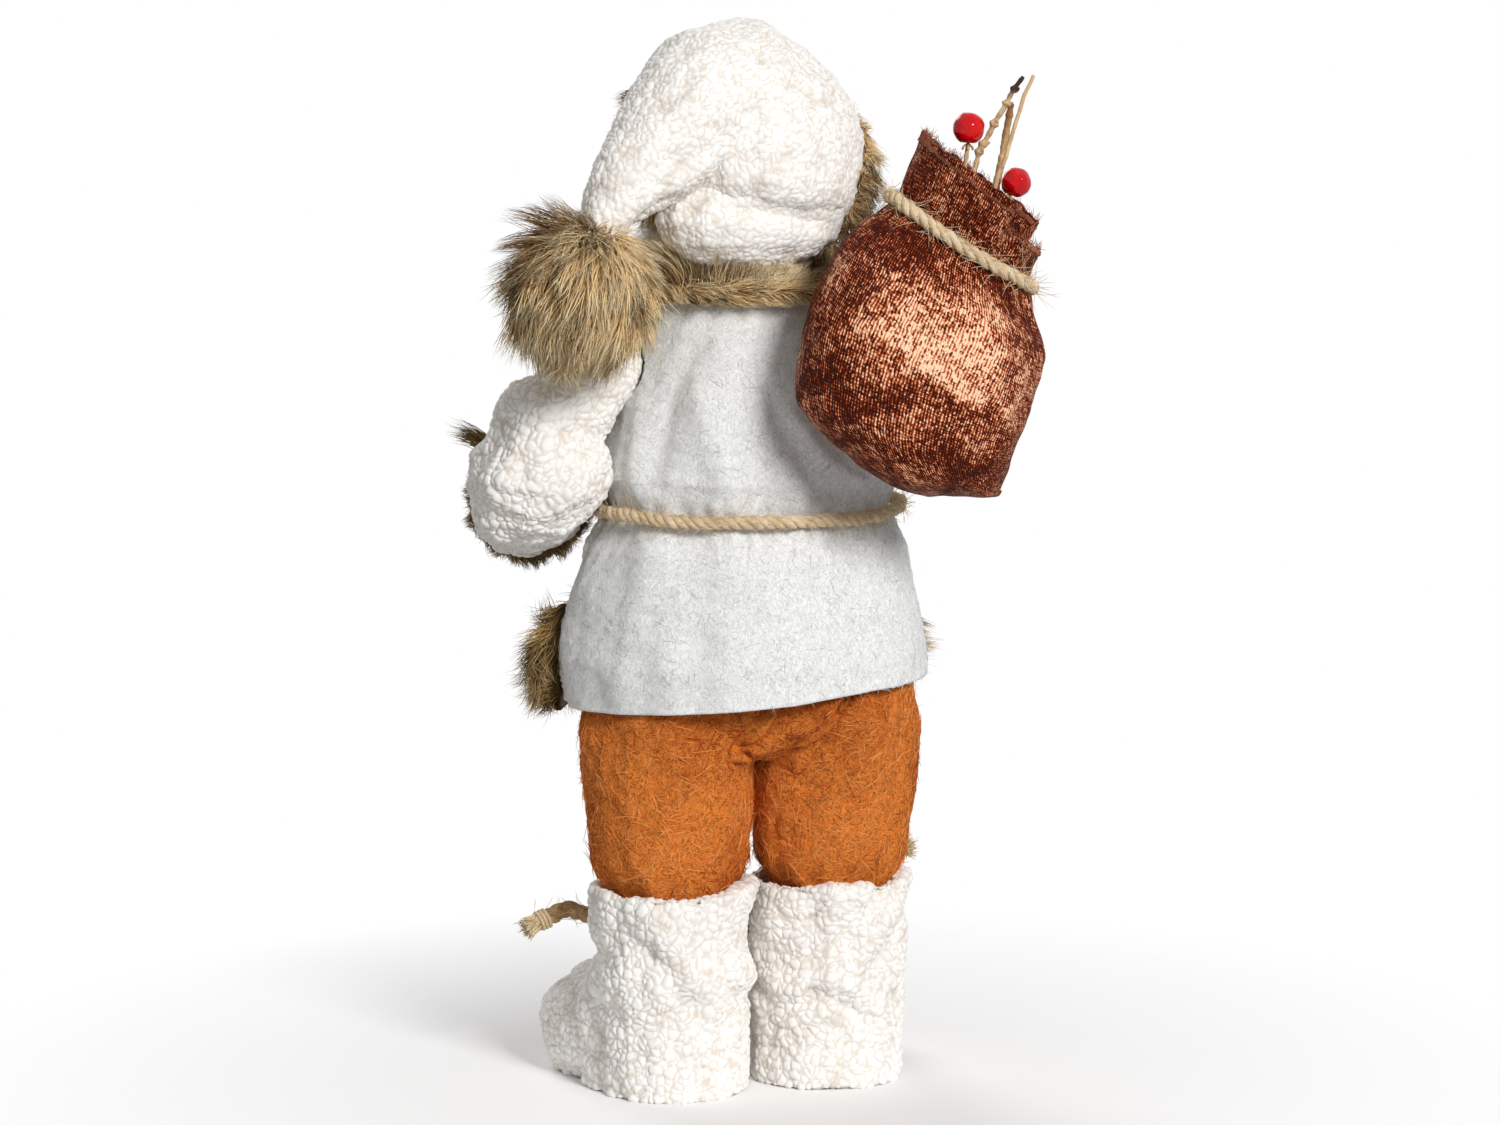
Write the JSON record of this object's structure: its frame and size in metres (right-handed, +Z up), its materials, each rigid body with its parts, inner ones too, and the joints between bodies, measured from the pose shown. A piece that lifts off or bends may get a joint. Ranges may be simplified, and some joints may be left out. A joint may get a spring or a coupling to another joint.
{
  "type": "santa figurine",
  "caption": "Standing stuffed santa figure in a plush coat, cap and boots, carrying a tied velvet sack with twigs and berries on its back.",
  "frame": {"origin": "middle of the part's box, on the floor that the boots stand on", "axes": "+Z up, the figure faces -Y, its left side is +X"},
  "size_m": [0.2363, 0.2151, 0.447],
  "materials": {
    "sherpa": "nubbly plush",
    "pale_felt": "felt",
    "rust_felt": "felt",
    "brown_fur": "long pile",
    "jute": "twisted",
    "straw_twine": "twisted",
    "velvet": "ribbed pile",
    "brown_wool": "felted",
    "white_wool": "combed fibre",
    "skin": "satin paint",
    "eye_glass": "polished",
    "foam": "bead foam",
    "plaster": "cast",
    "bare_wood": "plain",
    "twig": "bark",
    "steel_wire": "drawn",
    "sole_board": "fibre board",
    "berry_red": "polished"
  },
  "bodies": {
    "figure": {"torso_core": "foam", "neck_peg": "bare_wood", "trousers": "rust_felt", "coat_back": "pale_felt", "coat_hem_fur": "brown_fur", "coat_edge_fur_lower": "brown_fur", "coat_edge_fur_upper": "brown_fur", "fur_collar": "brown_fur", "belt_twine": "jute", "belt_knot": "jute", "left_leg_dowel": "bare_wood", "left_leg_padding": "white_wool", "left_foot_weight": "plaster", "left_boot": "sherpa", "left_boot_sole": "sole_board", "left_boot_tie_knot": "jute", "left_boot_tie_inner_tail": "jute", "left_boot_tie_outer_tail": "jute", "left_coat_front": "sherpa", "right_leg_dowel": "bare_wood", "right_leg_padding": "white_wool", "right_foot_weight": "plaster", "right_boot": "sherpa", "right_boot_sole": "sole_board", "right_boot_tie_knot": "jute", "right_boot_tie_inner_tail": "jute", "right_boot_tie_outer_tail": "jute", "right_coat_front": "sherpa", "right_sleeve": "sherpa", "right_arm_wire": "steel_wire", "right_cuff": "brown_fur", "right_mitten": "brown_wool"},
    "head": {"head": "skin", "left_eye": "eye_glass", "right_eye": "eye_glass", "left_brow": "white_wool", "right_brow": "white_wool", "moustache": "white_wool", "beard": "white_wool", "cap": "sherpa", "cap_brim": "brown_fur"},
    "pom": {"cap_pom": "brown_fur"},
    "left_arm": {"left_sleeve": "sherpa", "left_arm_wire": "steel_wire", "left_cuff": "brown_fur", "left_mitten": "brown_wool"},
    "sack": {"sack_bag": "velvet", "sack_stuffing": "white_wool", "sack_tie": "straw_twine", "twig_knobbly": "twig", "twig_thin": "twig", "twig_stem": "twig", "berry_upper": "berry_red", "berry_lower": "berry_red", "berry_upper_stem": "twig", "berry_lower_stem": "twig"}
  },
  "joints": [
    {"name": "head_turn", "type": "hinge", "parent": "figure", "child": "head", "pos_m": [-0.0015, -0.014, 0.344], "axis": [0, 0, 1], "range_deg": [-15, 15]},
    {"name": "left_shoulder", "type": "hinge", "parent": "figure", "child": "left_arm", "pos_m": [0.0615, -0.011, 0.306], "axis": [-1, 0, 0], "range_deg": [-4, 35]},
    {"name": "sack_swing", "type": "hinge", "parent": "figure", "child": "sack", "pos_m": [-0.0675, 0.01, 0.352], "axis": [1, 0, 0], "range_deg": [0, 25]},
    {"name": "pom_swing", "type": "hinge", "parent": "head", "child": "pom", "pos_m": [0.0765, 0.0327, 0.3623], "axis": [0, -1, 0], "range_deg": [0, 30]}
  ]
}
